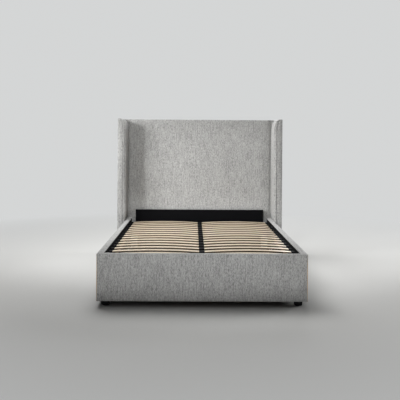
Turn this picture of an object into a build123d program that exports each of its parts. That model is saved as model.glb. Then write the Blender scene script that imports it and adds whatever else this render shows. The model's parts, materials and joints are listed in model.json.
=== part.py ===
from build123d import *
from math import cos, degrees, atan2, hypot, radians, sin
import os

# All lengths are in millimetres. X runs across the bed, Y from foot to head, Z up from the floor.

# Mattress that the bed holds, and the room round it
MATTRESS_WIDTH = 1350.0
MATTRESS_LENGTH = 1900.0
MATTRESS_SIDE_CLEARANCE = 10.0
MATTRESS_FOOT_CLEARANCE = 6.0

# Upholstered side rails and footboard
BASE_TOP = 368.0
CORE_THICKNESS = 40.0
COVER_THICKNESS = 4.0
LINING_THICKNESS = 3.0

# Round plastic feet
FOOT_HEIGHT = 40.0
FOOT_RADIUS = 30.0
FOOT_EDGE_RADIUS = 14.0
FOOT_INSET = 30.0

# Headboard, from its face to its back
HEAD_TOP = 1365.0
HEAD_PAD_THICKNESS = 35.0
HEAD_BOARD_THICKNESS = 12.0
HEAD_TIMBER_DEPTH = 40.0
HEAD_BACK_THICKNESS = 3.0
HEAD_EDGE_RADIUS = 10.0
HEAD_POST_WIDTH = 70.0
HEAD_CROSSRAIL_HEIGHT = 60.0
HEAD_CROSSRAIL_SHARES = (0.0, 0.26, 0.5, 0.76, 1.0)

# Wings that stand forward of the headboard, outside the side rails
WING_DEPTH = 215.0
WING_BOARD_THICKNESS = 46.0
WING_PAD_THICKNESS = 25.0
WING_RAIL_GAP = 1.0
WING_BOARD_ROUND = 30.0
WING_PAD_FRONT_ROUND = 24.0
WING_BOLT_RADIUS = 4.0
WING_BOLT_LENGTH = 96.0
WING_BOLT_SHARES = (0.1, 0.37, 0.63, 0.9)

# Low board that closes the storage box at the head
HEAD_RAIL_THICKNESS = 18.0
HEAD_RAIL_TOP = 190.0

# Storage floor
LEDGE_WIDTH = 25.0
LEDGE_HEIGHT = 16.0
FLOOR_THICKNESS = 6.0
FLOOR_PANEL_COUNT = 4
FLOOR_PANEL_GAP = 1.0
BEARER_WIDTH = 60.0

# Corner brackets and round bolt heads
BRACKET_LEG = 60.0
BRACKET_THICKNESS = 3.0
BRACKET_HEIGHT = 110.0
BRACKET_FLOOR_GAP = 12.0
BOLT_RADIUS = 4.0
BOLT_HEAD_RADIUS = 7.0
BOLT_HEAD_HEIGHT = 3.0
SIDE_BOLT_LENGTH = 25.0
BRACKET_BOLT_SHARES = (0.2, 0.8)

# Lifting platform: a frame of rectangular steel tube
TUBE_WIDTH = 25.0
TUBE_HEIGHT = 30.0
TUBE_WALL = 2.0
TUBE_TOP = 327.0
TUBE_SIDE_GAP = 8.0
CENTRE_TUBE_WIDTH = 40.0

# Sprung slats and the caps that hold their ends
SLAT_ROWS = 15
SLAT_WIDTH = 53.0
SLAT_THICKNESS = 8.0
SLAT_CROWN = 12.0
SLAT_FOOT_MARGIN = 94.0
SLAT_HEAD_MARGIN = 114.0
CAP_DEPTH = 26.0
CAP_WALL = 4.0
CAP_FLOOR = 3.5
CAP_ROOF = 3.0
CAP_CLEARANCE = 0.3
CAP_WEB = 4.0

# Stop board that keeps the mattress off the headboard
STOP_THICKNESS = 12.0
STOP_RISE = 87.0
STOP_END_GAP = 42.0
STOP_BOLT_SHARES = (0.08, 0.36, 0.64, 0.92)
SWING_CLEARANCE = 3.2

# Platform hinge
LIFT_ANGLE = 35.0
PIVOT_TO_STOP = 400.0
PIN_RADIUS = 5.0
PIN_HEAD_RADIUS = 7.5
PIN_HEAD_HEIGHT = 2.0
RUNNING_CLEARANCE = 0.05
PLATE_THICKNESS = 3.5
PLATE_HALF_WIDTH = 45.0
PLATE_ABOVE_PIVOT = 35.0
PLATE_BELOW_STUD = 25.0
PLATE_CORNER_RADIUS = 12.0
PLATE_BOLT_SPREAD = 28.0
PLATE_BOLT_SHARES = (0.34, 0.7)
ARM_THICKNESS = 4.0
ARM_TAIL = 30.0
ARM_LENGTH = 480.0
ARM_SIDE_GAP = 0.4
ARM_BOLT_SHARES = (0.28, 0.58, 0.76, 0.94)
NUT_HEIGHT = 6.0
LUG_HALF_WIDTH = 24.0
LUG_SKIRT = 60.0

# Gas struts: studs by their distance towards the foot and below the platform's pivot
ROD_STUD_FORWARD = 0.0
ROD_STUD_DROP = 190.0
CYLINDER_STUD_FORWARD = 204.0
CYLINDER_STUD_DROP = 34.0
STUD_RADIUS = 4.0
STUD_COLLAR_RADIUS = 9.0
STUD_HEAD_THICKNESS = 2.5
EYE_RADIUS = 10.0
EYE_WIDTH = 12.0
EYE_SIDE_GAP = 0.4
OPEN_PIVOT_CLEARANCE = 2.8
CYLINDER_RADIUS = 9.0
CYLINDER_WALL = 1.0
CYLINDER_LENGTH = 188.0
CYLINDER_END_WALL = 5.0
ROD_RADIUS = 4.0
PISTON_LENGTH = 12.0
ROD_SOCKET_RADIUS = 5.0
ROD_SOCKET_LENGTH = 24.0
STRUT_NECK = 14.0

# Rests under the platform
REST_WIDTH = 25.0
REST_HEIGHT = 42.0
BUFFER_THICKNESS = 5.0
BUFFER_LENGTH = 60.0
SEAT_CLEARANCE = 0.3
REST_HEAD_GAP = 350.0
BUFFER_SHARES = (0.12, 0.5, 0.88)

# Webbing tab that the platform is lifted by
TAB_WIDTH = 40.0
TAB_THICKNESS = 4.0
TAB_RISE = 32.0

# Overrun that carries cuts past a face
OVERRUN = 2.0

# Turns in degrees
QUARTER_TURN = 90
HALF_TURN = 180

# Search for the strut's ratios: steps of lift, and shares of the strut's length tried
LIFT_STEPS = 70
TRIED_SHARES = [share / 400 for share in range(160, 280)]

# Across the bed
INNER_HALF = MATTRESS_WIDTH / 2 + MATTRESS_SIDE_CLEARANCE
LINING_HALF = INNER_HALF + LINING_THICKNESS
CORE_HALF = LINING_HALF + CORE_THICKNESS
OUTER_HALF = CORE_HALF + COVER_THICKNESS
WING_INNER = OUTER_HALF + WING_RAIL_GAP
WING_JOINT = WING_INNER + WING_PAD_THICKNESS
WING_BOARD_OUTER = WING_JOINT + WING_BOARD_THICKNESS
WING_OUTER = WING_BOARD_OUTER + COVER_THICKNESS
TUBE_OUTER = INNER_HALF - TUBE_SIDE_GAP
TUBE_INNER = TUBE_OUTER - TUBE_WIDTH
PLATE_INNER = INNER_HALF - PLATE_THICKNESS
ARM_OUTER = TUBE_OUTER + ARM_THICKNESS
STOP_HALF = INNER_HALF - STOP_END_GAP

# Heights
BASE_BOTTOM = FOOT_HEIGHT
TUBE_BOTTOM = TUBE_TOP - TUBE_HEIGHT
PIVOT_Z = TUBE_TOP - TUBE_HEIGHT / 2
SLAT_SEAT = TUBE_TOP + CAP_FLOOR
STOP_TOP = BASE_TOP + STOP_RISE
LEDGE_TOP = BASE_BOTTOM + LEDGE_HEIGHT
FLOOR_TOP = LEDGE_TOP + FLOOR_THICKNESS
BUFFER_TOP = TUBE_BOTTOM - SEAT_CLEARANCE
REST_TOP = BUFFER_TOP - BUFFER_THICKNESS
REST_BOTTOM = REST_TOP - REST_HEIGHT
TIMBER_TOP = HEAD_TOP - COVER_THICKNESS

# Along the bed, with the middle of the whole length at zero
RAIL_THICKNESS = COVER_THICKNESS + CORE_THICKNESS + LINING_THICKNESS
HEAD_THICKNESS = HEAD_PAD_THICKNESS + HEAD_BOARD_THICKNESS + HEAD_TIMBER_DEPTH + HEAD_BACK_THICKNESS
STOP_ABOVE_PIVOT = STOP_TOP - PIVOT_Z
SWING_GAP = hypot(PIVOT_TO_STOP, STOP_ABOVE_PIVOT) - PIVOT_TO_STOP + SWING_CLEARANCE
INNER_LENGTH = MATTRESS_FOOT_CLEARANCE + MATTRESS_LENGTH + STOP_THICKNESS + SWING_GAP
TOTAL_LENGTH = RAIL_THICKNESS + INNER_LENGTH + HEAD_THICKNESS
FOOT_FACE = -TOTAL_LENGTH / 2
FOOT_INNER = FOOT_FACE + RAIL_THICKNESS
PLATFORM_FOOT = FOOT_INNER + MATTRESS_FOOT_CLEARANCE
PLATFORM_HEAD = PLATFORM_FOOT + MATTRESS_LENGTH
STOP_BACK = PLATFORM_HEAD + STOP_THICKNESS
HEAD_FACE = FOOT_INNER + INNER_LENGTH
HEAD_BACK = HEAD_FACE + HEAD_THICKNESS
HEAD_BOARD_FACE = HEAD_FACE + HEAD_PAD_THICKNESS
TIMBER_FACE = HEAD_BOARD_FACE + HEAD_BOARD_THICKNESS
TIMBER_BACK = HEAD_BACK - HEAD_BACK_THICKNESS
WING_FRONT = HEAD_FACE - WING_DEPTH
PIVOT_Y = STOP_BACK - PIVOT_TO_STOP
HEAD_RAIL_FACE = HEAD_FACE - HEAD_RAIL_THICKNESS
SLAT_FIRST = FOOT_INNER + SLAT_FOOT_MARGIN
SLAT_PITCH = (PLATFORM_HEAD - SLAT_HEAD_MARGIN - SLAT_FIRST) / (SLAT_ROWS - 1)

# Slat ends inside their caps
SIDE_CAP_MOUTH = TUBE_OUTER - CAP_DEPTH
SLAT_OUTER = TUBE_OUTER - CAP_WALL - CAP_CLEARANCE
SLAT_INNER = CAP_WEB / 2 + CAP_CLEARANCE
CENTRE_CAP_HALF = CENTRE_TUBE_WIDTH / 2 + CAP_CLEARANCE

# Strut line at rest, in the side view
ROD_STUD_Y = PIVOT_Y - ROD_STUD_FORWARD
ROD_STUD_Z = PIVOT_Z - ROD_STUD_DROP
CYLINDER_STUD_Y = PIVOT_Y - CYLINDER_STUD_FORWARD
CYLINDER_STUD_Z = PIVOT_Z - CYLINDER_STUD_DROP
STRUT_LENGTH = hypot(CYLINDER_STUD_Y - ROD_STUD_Y, CYLINDER_STUD_Z - ROD_STUD_Z)
STRUT_TILT = degrees(atan2(CYLINDER_STUD_Z - ROD_STUD_Z, CYLINDER_STUD_Y - ROD_STUD_Y))
STRUT_X = TUBE_INNER + TUBE_WIDTH / 2 - EYE_SIDE_GAP

# Turning a primitive so that it runs along X, with its low end at the origin
LOW_END = (Align.CENTER, Align.CENTER, Align.MIN)
LOW_CORNER = (Align.MIN, Align.MIN, Align.MIN)


def block(x, y, z):
    """Box between three pairs of coordinates."""
    return Pos(x[0], y[0], z[0]) * Box(x[1] - x[0], y[1] - y[0], z[1] - z[0], align=LOW_CORNER)


def across(x, y, z, radius):
    """Round bar along X between a pair of coordinates."""
    return Pos(x[0], y, z) * Rot(Y=QUARTER_TURN) * Cylinder(radius, x[1] - x[0], align=LOW_END)


def along(x, y, z, radius):
    """Round bar along Y between a pair of coordinates."""
    return Pos(x, y[0], z) * Rot(X=-QUARTER_TURN) * Cylinder(radius, y[1] - y[0], align=LOW_END)


def mirrored(shape):
    return mirror(shape, about=Plane.YZ)


def shared(low, high, shares):
    """Places between two coordinates, given as shares of the way."""
    return [low + (high - low) * share for share in shares]


def single(shape):
    """The one solid of a shape."""
    solids = shape.solids()
    if len(solids) != 1:
        raise ValueError(f"expected one solid, found {len(solids)}")
    return solids[0]


def side_plate(points, radius, x):
    """Plate in the side view with rounded corners, between two X coordinates."""
    outline = FilletPolyline(*points, radius=radius, close=True)
    face = Plane.YZ * make_face(outline)
    return Pos(x[0], 0, 0) * extrude(face, amount=x[1] - x[0])


def save(name, *solids):
    """Write one node, as one solid or as a group of separate solids."""
    found = [single(solid) for solid in solids]
    export_step(found[0] if len(found) == 1 else Compound(children=found), f"parts/{name}.step")


def save_pair(name, solid):
    """Write the right-hand node and its mirror image."""
    save(f"{name}_right", solid)
    save(f"{name}_left", mirrored(solid))


def both_sides(solids):
    """Right-hand solids with their mirror images."""
    return [*solids, *[mirrored(solid) for solid in solids]]


def bracket_places():
    """Each corner bracket's face along Y and the way that it points into the box."""
    return ((FOOT_INNER, 1), (HEAD_RAIL_FACE, -1))


def bracket_bolt_places():
    """Y and Z of the bolts that go through a bracket into the right-hand side rail."""
    low = FLOOR_TOP + BRACKET_FLOOR_GAP
    heights = shared(low, low + BRACKET_HEIGHT, BRACKET_BOLT_SHARES)
    return [(face + inward * BRACKET_LEG / 2, z) for face, inward in bracket_places() for z in heights]


def plate_bolt_places():
    """Y and Z of the bolts that go through a hinge plate into the right-hand side rail."""
    heights = shared(PIVOT_Z + PLATE_ABOVE_PIVOT, ROD_STUD_Z - PLATE_BELOW_STUD, PLATE_BOLT_SHARES)
    return [(PIVOT_Y + side * PLATE_BOLT_SPREAD, z) for z in heights for side in (-1, 1)]


def with_bolt_holes(shape, x):
    """Cut the holes of every bolt that enters the right-hand side rail."""
    for y, z in bracket_bolt_places() + plate_bolt_places():
        shape -= across(x, y, z, BOLT_RADIUS)
    return shape


def side_bolt(start, length, y, z):
    """Bolt that runs outward from a face, its head inside the box."""
    head = across((start - BOLT_HEAD_HEIGHT, start), y, z, BOLT_HEAD_RADIUS)
    return head + across((start, start + length), y, z, BOLT_RADIUS)


# Side rails: a timber core, a padded cover over the outside and top, a black lining inside
def make_side_rails():
    y = (FOOT_INNER, HEAD_FACE)
    z = (BASE_BOTTOM, BASE_TOP - COVER_THICKNESS)
    core = block((LINING_HALF, CORE_HALF), y, z)
    hole_x = (LINING_HALF, INNER_HALF - BRACKET_THICKNESS + SIDE_BOLT_LENGTH)
    save_pair("side_rail", with_bolt_holes(core, hole_x))
    outer = block((CORE_HALF, OUTER_HALF), y, (BASE_BOTTOM, BASE_TOP))
    top = block((INNER_HALF, CORE_HALF), y, (z[1], BASE_TOP))
    save_pair("side_rail_cover", outer + top)


# Footboard: the same make-up across the whole width, its cover wrapped round both ends
def make_footboard():
    core_top = BASE_TOP - COVER_THICKNESS
    core_y = (FOOT_FACE + COVER_THICKNESS, FOOT_INNER - LINING_THICKNESS)
    z = (BASE_BOTTOM, core_top)
    core = block((-CORE_HALF, CORE_HALF), core_y, z)
    lining = block((-CORE_HALF, CORE_HALF), (core_y[1], FOOT_INNER), z)
    cover = block((-OUTER_HALF, OUTER_HALF), (FOOT_FACE, FOOT_INNER), (BASE_BOTTOM, BASE_TOP))
    save("footboard_core", core)
    save("footboard_cover", cover - core - lining)
    side = block((INNER_HALF, LINING_HALF), (FOOT_INNER, HEAD_FACE), z)
    side = with_bolt_holes(side, (INNER_HALF - OVERRUN, LINING_HALF + OVERRUN))
    save("base_linings", lining, *both_sides([side]))


# Headboard: posts and crossrails, a facing board, a padded front and a thin back cover
def make_headboard():
    timber_y = (TIMBER_FACE, TIMBER_BACK)
    inner = WING_JOINT - HEAD_POST_WIDTH
    post = block((inner, WING_JOINT), timber_y, (BASE_BOTTOM, TIMBER_TOP))
    for height in shared(BASE_BOTTOM, TIMBER_TOP, WING_BOLT_SHARES):
        x = (WING_JOINT - HEAD_POST_WIDTH - OVERRUN, WING_JOINT + OVERRUN)
        post -= across(x, (TIMBER_FACE + TIMBER_BACK) / 2, height, WING_BOLT_RADIUS)
    lowest = shared(BASE_BOTTOM, TIMBER_TOP - HEAD_CROSSRAIL_HEIGHT, HEAD_CROSSRAIL_SHARES)
    rails = [block((-inner, inner), timber_y, (z, z + HEAD_CROSSRAIL_HEIGHT)) for z in lowest]
    save("headboard_frame", *both_sides([post]), *rails)
    width = (-WING_JOINT, WING_JOINT)
    save("headboard_board", block(width, (HEAD_BOARD_FACE, TIMBER_FACE), (BASE_BOTTOM, TIMBER_TOP)))
    front = block(width, (HEAD_FACE, HEAD_BOARD_FACE), (BASE_BOTTOM, HEAD_TOP))
    over = block(width, (HEAD_BOARD_FACE, TIMBER_BACK), (TIMBER_TOP, HEAD_TOP))
    pad = front + over
    edge = pad.edges().filter_by(Axis.X).filter_by_position(Axis.Y, HEAD_FACE, HEAD_FACE)
    save("headboard_pad", fillet(edge.sort_by(Axis.Z)[-1], HEAD_EDGE_RADIUS))
    save("headboard_back_cover", block(width, (TIMBER_BACK, HEAD_BACK), (BASE_BOTTOM, HEAD_TOP)))


def wing_face(points_before, round_radius, top, points_after):
    """Wing section in the front view, with its inner top corner rounded."""
    centre = (WING_JOINT + WING_BOARD_ROUND, top - round_radius)
    arc = CenterArc(centre, round_radius, QUARTER_TURN, QUARTER_TURN)
    first = Polyline(*points_before, arc @ 1)
    last = Polyline(arc @ 0, *points_after, points_before[0])
    return Plane.XZ * make_face([first.edges(), arc.edges(), last.edges()])


# Wings: a board with a padded inner side and a cover over the outside, front, top and back
def make_wings():
    board_round, pad_round = WING_BOARD_ROUND, WING_BOARD_ROUND + WING_PAD_THICKNESS
    crest = WING_JOINT + WING_BOARD_ROUND
    foot = (WING_JOINT, BASE_BOTTOM)
    board_face = wing_face(
        [foot], board_round, TIMBER_TOP, [(WING_BOARD_OUTER, TIMBER_TOP), (WING_BOARD_OUTER, BASE_BOTTOM)]
    )
    shell_face = wing_face(
        [foot], board_round, TIMBER_TOP,
        [(crest, HEAD_TOP), (WING_OUTER, HEAD_TOP), (WING_OUTER, BASE_BOTTOM)],
    )
    board_y = (WING_FRONT + COVER_THICKNESS, TIMBER_BACK)
    board = Pos(0, board_y[1], 0) * extrude(board_face, amount=board_y[1] - board_y[0])
    shell = Pos(0, HEAD_BACK, 0) * extrude(shell_face, amount=HEAD_BACK - WING_FRONT)
    cover = shell - board
    bolt_y = (TIMBER_FACE + TIMBER_BACK) / 2
    head_x = WING_JOINT - HEAD_POST_WIDTH
    bolts = []
    for height in shared(BASE_BOTTOM, TIMBER_TOP, WING_BOLT_SHARES):
        bolt = across((head_x, head_x + WING_BOLT_LENGTH), bolt_y, height, WING_BOLT_RADIUS)
        board -= bolt
        bolts.append(bolt + across((head_x - BOLT_HEAD_HEIGHT, head_x), bolt_y, height, BOLT_HEAD_RADIUS))
    inner_arc = CenterArc((crest, HEAD_TOP - pad_round), pad_round, QUARTER_TURN, QUARTER_TURN)
    board_centre = (crest, TIMBER_TOP - board_round)
    board_arc = CenterArc(board_centre, board_round, QUARTER_TURN, QUARTER_TURN)
    section = make_face([
        Line((WING_INNER, BASE_BOTTOM), inner_arc @ 1), inner_arc,
        Line(inner_arc @ 0, board_arc @ 0), board_arc,
        Line(board_arc @ 1, foot), Line(foot, (WING_INNER, BASE_BOTTOM)),
    ])
    body = Pos(0, HEAD_FACE, 0) * extrude(Plane.XZ * section, amount=WING_DEPTH)
    front = (WING_INNER + WING_PAD_FRONT_ROUND, WING_FRONT + WING_PAD_FRONT_ROUND)
    edge = CenterArc(front, WING_PAD_FRONT_ROUND, HALF_TURN, QUARTER_TURN)
    plan = make_face([
        edge, Line(edge @ 1, (crest, WING_FRONT)), Line((crest, WING_FRONT), (crest, HEAD_FACE)),
        Line((crest, HEAD_FACE), (WING_INNER, HEAD_FACE)), Line((WING_INNER, HEAD_FACE), edge @ 0),
    ])
    rounded = extrude(plan, amount=HEAD_TOP)
    save_pair("wing_board", board)
    save_pair("wing_cover", cover)
    save_pair("wing_pad", body & rounded)
    return bolts


# Storage floor: a low head board, ledges round the box, cross bearers and four panels
def make_storage_floor():
    z = (BASE_BOTTOM, LEDGE_TOP)
    inner = INNER_HALF - LEDGE_WIDTH
    side = block((inner, INNER_HALF), (FOOT_INNER, HEAD_RAIL_FACE), z)
    foot = block((-inner, inner), (FOOT_INNER, FOOT_INNER + LEDGE_WIDTH), z)
    head = block((-inner, inner), (HEAD_RAIL_FACE - LEDGE_WIDTH, HEAD_RAIL_FACE), z)
    head_y = (HEAD_RAIL_FACE, HEAD_FACE)
    save("head_rail", block((-INNER_HALF, INNER_HALF), head_y, (BASE_BOTTOM, HEAD_RAIL_TOP)))
    save("floor_ledges", *both_sides([side]), foot, head)
    step = (HEAD_RAIL_FACE - FOOT_INNER) / FLOOR_PANEL_COUNT
    joints = [FOOT_INNER + step * i for i in range(FLOOR_PANEL_COUNT + 1)]
    half = BEARER_WIDTH / 2
    save("floor_bearers", *[block((-inner, inner), (y - half, y + half), z) for y in joints[1:-1]])
    panel_half = INNER_HALF - FLOOR_PANEL_GAP
    panels = []
    for low, high in zip(joints[:-1], joints[1:]):
        y = (low + FLOOR_PANEL_GAP / 2, high - FLOOR_PANEL_GAP / 2)
        panels.append(block((-panel_half, panel_half), y, (LEDGE_TOP, FLOOR_TOP)))
    save("floor_panels", *panels)
    return [Pos(0, y, 0) * make_foot() for y in joints[1:-1]]


def make_foot():
    """Round foot with its lower edge rounded."""
    foot = Cylinder(FOOT_RADIUS, FOOT_HEIGHT, align=LOW_END)
    lower = foot.edges().filter_by(GeomType.CIRCLE).sort_by(Axis.Z)[0]
    return fillet(lower, FOOT_EDGE_RADIUS)


def make_corner_feet():
    front_x = OUTER_HALF - FOOT_INSET - FOOT_RADIUS
    front_y = FOOT_FACE + FOOT_INSET + FOOT_RADIUS
    back_x = WING_JOINT - HEAD_POST_WIDTH / 2
    back_y = HEAD_FACE + HEAD_THICKNESS / 2
    return both_sides([Pos(front_x, front_y, 0) * make_foot(), Pos(back_x, back_y, 0) * make_foot()])


# Corner brackets inside the box, each bolted to its side rail
def make_corner_brackets():
    low = FLOOR_TOP + BRACKET_FLOOR_GAP
    z = (low, low + BRACKET_HEIGHT)
    inner = INNER_HALF - BRACKET_THICKNESS
    hole_x = (inner - OVERRUN, INNER_HALF + OVERRUN)
    brackets = []
    for face, inward in bracket_places():
        leg_y = sorted((face, face + inward * BRACKET_LEG))
        thin_y = sorted((face, face + inward * BRACKET_THICKNESS))
        bracket = block((inner, INNER_HALF), leg_y, z)
        bracket += block((INNER_HALF - BRACKET_LEG, INNER_HALF), thin_y, z)
        brackets.append(with_bolt_holes(bracket, hole_x))
    save("corner_brackets", *both_sides(brackets))
    return [side_bolt(inner, SIDE_BOLT_LENGTH, y, z) for y, z in bracket_bolt_places()]


# Rests that carry the platform at its sides and foot, with rubber buffers on top
def make_rests():
    rest_z = (REST_BOTTOM, REST_TOP)
    buffer_z = (REST_TOP, BUFFER_TOP)
    inner = INNER_HALF - REST_WIDTH
    side_y = (FOOT_INNER + REST_WIDTH, PIVOT_Y - REST_HEAD_GAP)
    foot_y = (FOOT_INNER, FOOT_INNER + REST_WIDTH)
    side = block((inner, INNER_HALF), side_y, rest_z)
    foot = block((-inner, inner), foot_y, rest_z)
    save("platform_rests", *both_sides([side]), foot)
    half = BUFFER_LENGTH / 2
    side_buffers = [
        block((inner, INNER_HALF), (y - half, y + half), buffer_z) for y in shared(*side_y, BUFFER_SHARES)
    ]
    foot_buffers = [
        block((x - half, x + half), foot_y, buffer_z) for x in shared(-inner, inner, BUFFER_SHARES)
    ]
    save("rest_buffers", *both_sides(side_buffers), *foot_buffers)


# Platform frame: hollow tubes, two long sides with head, foot and centre tubes between them
def make_platform_frame():
    z = (TUBE_BOTTOM, TUBE_TOP)
    hollow_z = (TUBE_BOTTOM + TUBE_WALL, TUBE_TOP - TUBE_WALL)
    ends = (PLATFORM_FOOT, PLATFORM_HEAD)
    past_ends = (PLATFORM_FOOT - OVERRUN, PLATFORM_HEAD + OVERRUN)
    side = block((TUBE_INNER, TUBE_OUTER), ends, z)
    side -= block((TUBE_INNER + TUBE_WALL, TUBE_OUTER - TUBE_WALL), past_ends, hollow_z)
    wall_x = (TUBE_OUTER - TUBE_WALL - OVERRUN, TUBE_OUTER + OVERRUN)
    side -= across(wall_x, PIVOT_Y, PIVOT_Z, PIN_HEAD_RADIUS + ARM_SIDE_GAP)
    for y in arm_bolt_places():
        side -= across((TUBE_INNER - OVERRUN, TUBE_OUTER + OVERRUN), y, PIVOT_Z, BOLT_RADIUS)
    save_pair("platform_tube", side)
    inner_x = (-TUBE_INNER, TUBE_INNER)
    for name, y in (
        ("foot", (PLATFORM_FOOT, PLATFORM_FOOT + TUBE_WIDTH)),
        ("head", (PLATFORM_HEAD - TUBE_WIDTH, PLATFORM_HEAD)),
    ):
        tube = block(inner_x, y, z) - block(inner_x, (y[0] + TUBE_WALL, y[1] - TUBE_WALL), hollow_z)
        if name == "head":
            for x in shared(-STOP_HALF, STOP_HALF, STOP_BOLT_SHARES):
                tube -= along(x, (y[1] - TUBE_WALL - OVERRUN, y[1] + OVERRUN), PIVOT_Z, BOLT_RADIUS)
        save(f"platform_tube_{name}", tube)
    half = CENTRE_TUBE_WIDTH / 2
    y = (PLATFORM_FOOT + TUBE_WIDTH, PLATFORM_HEAD - TUBE_WIDTH)
    centre = block((-half, half), y, z) - block((TUBE_WALL - half, half - TUBE_WALL), y, hollow_z)
    save("platform_tube_centre", centre)


def slat(clearance):
    """Bowed slat of the right-hand column at the origin, grown all round by a clearance."""
    x0, x1 = SLAT_INNER - clearance, SLAT_OUTER + clearance
    middle = (x0 + x1) / 2
    low, high = SLAT_SEAT - clearance, SLAT_SEAT + SLAT_THICKNESS + clearance
    under = ThreePointArc((x0, low), (middle, low + SLAT_CROWN), (x1, low))
    over = ThreePointArc((x1, high), (middle, high + SLAT_CROWN), (x0, high))
    face = make_face([under, Line(under @ 1, over @ 0), over, Line(over @ 1, under @ 0)])
    return extrude(Plane.XZ * face, amount=SLAT_WIDTH / 2 + clearance, both=True)


# Slats in rows of two, with a cap at each outer end and a double cap in the middle
def make_slats():
    places = [SLAT_FIRST + SLAT_PITCH * row for row in range(SLAT_ROWS)]
    right = slat(0)
    left = mirrored(right)
    for row, y in enumerate(places):
        save(f"slat_row_{row + 1:02d}", Pos(0, y, 0) * right, Pos(0, y, 0) * left)
    pocket = slat(CAP_CLEARANCE)
    half = SLAT_WIDTH / 2 + CAP_WALL
    top = SLAT_SEAT + SLAT_THICKNESS + CAP_ROOF
    side_cap = block((SIDE_CAP_MOUTH, TUBE_OUTER), (-half, half), (TUBE_TOP, top)) - pocket
    centre_x = (-CENTRE_CAP_HALF, CENTRE_CAP_HALF)
    centre_cap = block(centre_x, (-half, half), (TUBE_TOP, top)) - pocket - mirrored(pocket)
    side_caps = [Pos(0, y, 0) * side_cap for y in places]
    save("side_slat_caps", *both_sides(side_caps))
    save("centre_slat_caps", *[Pos(0, y, 0) * centre_cap for y in places])


# Stop board bolted to the head tube
def make_stop_board():
    board = block((-STOP_HALF, STOP_HALF), (PLATFORM_HEAD, STOP_BACK), (TUBE_BOTTOM, STOP_TOP))
    start = PLATFORM_HEAD - TUBE_WALL
    bolts = []
    for x in shared(-STOP_HALF, STOP_HALF, STOP_BOLT_SHARES):
        bolt = along(x, (start, STOP_BACK), PIVOT_Z, BOLT_RADIUS)
        board -= bolt
        bolts.append(bolt + along(x, (STOP_BACK, STOP_BACK + BOLT_HEAD_HEIGHT), PIVOT_Z, BOLT_HEAD_RADIUS))
    save("stop_board", board)
    return bolts


def make_lift_tab():
    half = TAB_WIDTH / 2
    y = (PLATFORM_FOOT - TAB_THICKNESS, PLATFORM_FOOT)
    save("lift_tab", block((-half, half), y, (TUBE_BOTTOM, TUBE_TOP + TAB_RISE)))


def arm_bolt_places():
    return shared(PIVOT_Y, PIVOT_Y - ARM_LENGTH, ARM_BOLT_SHARES)


# Hinge plates on the side rails, their pivot pins and strut studs
def make_hinge_plates():
    top, low = PIVOT_Z + PLATE_ABOVE_PIVOT, ROD_STUD_Z - PLATE_BELOW_STUD
    foot, head = PIVOT_Y - PLATE_HALF_WIDTH, PIVOT_Y + PLATE_HALF_WIDTH
    corners = [(foot, low), (head, low), (head, top), (foot, top)]
    plate = side_plate(corners, PLATE_CORNER_RADIUS, (PLATE_INNER, INNER_HALF))
    plate_x = (PLATE_INNER - OVERRUN, INNER_HALF + OVERRUN)
    plate -= across(plate_x, PIVOT_Y, PIVOT_Z, PIN_RADIUS)
    plate -= across(plate_x, ROD_STUD_Y, ROD_STUD_Z, STUD_RADIUS)
    plate = with_bolt_holes(plate, plate_x)
    save("hinge_plates", *both_sides([plate]))
    head_x = TUBE_OUTER - ARM_SIDE_GAP
    pin = across((head_x, INNER_HALF), PIVOT_Y, PIVOT_Z, PIN_RADIUS)
    pin += across((head_x - PIN_HEAD_HEIGHT, head_x), PIVOT_Y, PIVOT_Z, PIN_HEAD_RADIUS)
    save("hinge_pins", *both_sides([pin]))
    stud = make_stud(INNER_HALF, PLATE_INNER, ROD_STUD_Y, ROD_STUD_Z)
    save("rod_studs", *both_sides([stud]))
    length = SIDE_BOLT_LENGTH + PLATE_THICKNESS - BRACKET_THICKNESS
    return [side_bolt(PLATE_INNER, length, y, z) for y, z in plate_bolt_places()]


def make_stud(end, face, y, z):
    """Stud through a plate, with a collar against it and a head inside the strut's eye."""
    inner = STRUT_X - EYE_WIDTH / 2 - EYE_SIDE_GAP
    outer = STRUT_X + EYE_WIDTH / 2 + EYE_SIDE_GAP
    stud = across((inner, end), y, z, STUD_RADIUS)
    stud += across((outer, face), y, z, STUD_COLLAR_RADIUS)
    return stud + across((inner - STUD_HEAD_THICKNESS, inner), y, z, STUD_COLLAR_RADIUS)


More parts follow.
